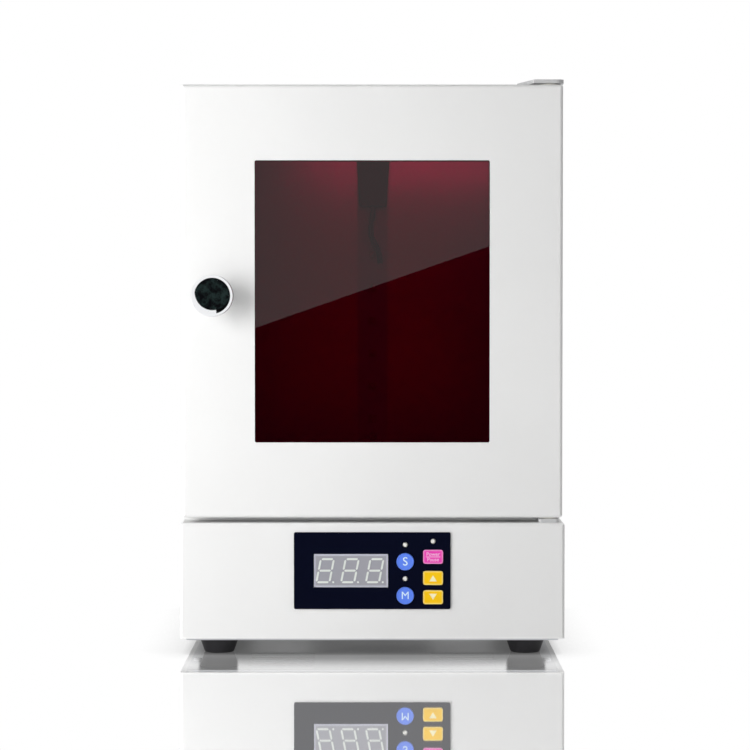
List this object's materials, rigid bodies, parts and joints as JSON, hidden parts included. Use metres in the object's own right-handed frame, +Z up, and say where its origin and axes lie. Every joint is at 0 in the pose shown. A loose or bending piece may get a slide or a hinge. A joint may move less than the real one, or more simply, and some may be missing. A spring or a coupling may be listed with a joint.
{
  "type": "dental lab light curing unit",
  "caption": "Benchtop light curing cabinet with a hinged red-window door, a control panel in its base, and a driven turntable in a mirror-lined chamber.",
  "frame": {"origin": "centre of the footprint on the table, between the foremost point of the knob and the rearmost screw heads", "axes": "+X to the right seen from the front, +Y to the rear, +Z up; the door faces -Y"},
  "size_m": [0.23, 0.2752, 0.3437],
  "materials": {
    "white_powder_coat": "fine textured white powder coat",
    "grey_zinc_sheet": "zinc-plated sheet, satin",
    "mirror_steel": "mirror-polished stainless sheet",
    "black_rubber": "matt moulded rubber",
    "gasket_rubber": "soft extruded rubber",
    "zinc_screws": "bright zinc-plated",
    "hinge_coat": "smooth pale grey paint",
    "motor_steel": "drawn and plated steel can",
    "magnet_nickel": "nickel-plated magnet",
    "anodised_sink": "extruded, satin",
    "lamp_board_white": "white solder mask",
    "emitter_resin": "clear resin over a yellow emitter",
    "black_plastic": "fine-grained moulded plastic",
    "rocker_plastic": "gloss moulded plastic",
    "bush_nylon": "natural nylon",
    "circuit_green": "green solder mask",
    "brass": "turned brass",
    "contact_nickel": "nickel-plated brass",
    "fascia_black": "black film on plastic, low sheen",
    "display_grey": "grey display face",
    "segment_pale": "unlit translucent bars",
    "lamp_white": "clear unlit indicator lamps",
    "key_blue": "moulded blue",
    "key_pink": "moulded pink",
    "key_yellow": "moulded yellow",
    "red_acrylic": "clear dark red light-blocking acrylic",
    "chrome": "mirror-polished plating"
  },
  "bodies": {
    "housing": {"base_housing": "white_powder_coat", "bottom_plate": "grey_zinc_sheet", "feet": "black_rubber", "foot_screws": "zinc_screws", "cabinet_wrap": "white_powder_coat", "front_frame": "white_powder_coat", "rear_panel": "white_powder_coat", "panel_screws": "zinc_screws", "chamber_floor": "mirror_steel", "liner_wrap": "mirror_steel", "liner_roof": "mirror_steel", "lamp_boards": "lamp_board_white", "lamp_emitters": "emitter_resin", "heat_sinks": "anodised_sink", "inner_screws": "zinc_screws", "fan_frame": "black_plastic", "fan_guard": "zinc_screws", "fan_screws": "zinc_screws", "turntable_motor": "motor_steel", "motor_bracket": "grey_zinc_sheet", "shaft_bush": "bush_nylon", "supply_case": "grey_zinc_sheet", "supply_board": "circuit_green", "supply_terminals": "black_plastic", "inlet_socket": "black_plastic", "inlet_pins": "contact_nickel", "switch_body": "black_plastic", "control_fascia": "fascia_black", "display_module": "display_grey", "display_segments": "segment_pale", "indicator_lamps": "lamp_white", "control_board": "circuit_green", "board_standoffs": "brass", "key_switches": "black_plastic", "hinge_top_plate": "hinge_coat", "hinge_bottom_plate": "hinge_coat", "hinge_pins": "zinc_screws", "hinge_screws": "zinc_screws", "catch_magnets": "magnet_nickel", "door_sensor": "black_plastic"},
    "door": {"door_shell": "white_powder_coat", "door_back_plate": "white_powder_coat", "window_pane": "red_acrylic", "window_clamp": "white_powder_coat", "door_screws": "zinc_screws", "door_gasket": "gasket_rubber", "knob": "chrome", "strike_plates": "zinc_screws", "sensor_magnet": "magnet_nickel", "hinge_bushes": "bush_nylon"},
    "turntable": {"turntable": "mirror_steel", "drive_hub": "black_plastic", "motor_shaft": "zinc_screws"},
    "fan_rotor": {"fan_rotor": "black_plastic"},
    "rocker": {"rocker": "rocker_plastic"},
    "key_set": {"key_set": "key_blue"},
    "key_mode": {"key_mode": "key_blue"},
    "key_power": {"key_power": "key_pink"},
    "key_up": {"key_up": "key_yellow"},
    "key_down": {"key_down": "key_yellow"}
  },
  "joints": [
    {"name": "door_hinge", "type": "hinge", "parent": "housing", "child": "door", "pos_m": [0.1055, -0.1076, 0.2116], "axis": [0, 0, 1], "range_deg": [0, 165]},
    {"name": "turntable_spin", "type": "hinge", "parent": "housing", "child": "turntable", "pos_m": [0, -0.00294, 0.0973], "axis": [0, 0, 1], "continuous": true},
    {"name": "fan_spin", "type": "hinge", "parent": "housing", "child": "fan_rotor", "pos_m": [0, 0.1265, 0.2694], "axis": [0, 1, 0], "continuous": true},
    {"name": "rocker_tilt", "type": "hinge", "parent": "housing", "child": "rocker", "pos_m": [0.028, 0.133, 0.0452], "axis": [-1, 0, 0], "range_deg": [0, 16]},
    {"name": "key_set_press", "type": "slide", "parent": "housing", "child": "key_set", "axis": [0, 1, 0], "range_m": [0, 0.0005], "stiffness_N_per_m": 500},
    {"name": "key_mode_press", "type": "slide", "parent": "housing", "child": "key_mode", "axis": [0, 1, 0], "range_m": [0, 0.0005], "stiffness_N_per_m": 500},
    {"name": "key_power_press", "type": "slide", "parent": "housing", "child": "key_power", "axis": [0, 1, 0], "range_m": [0, 0.0005], "stiffness_N_per_m": 500},
    {"name": "key_up_press", "type": "slide", "parent": "housing", "child": "key_up", "axis": [0, 1, 0], "range_m": [0, 0.0005], "stiffness_N_per_m": 500},
    {"name": "key_down_press", "type": "slide", "parent": "housing", "child": "key_down", "axis": [0, 1, 0], "range_m": [0, 0.0005], "stiffness_N_per_m": 500}
  ]
}
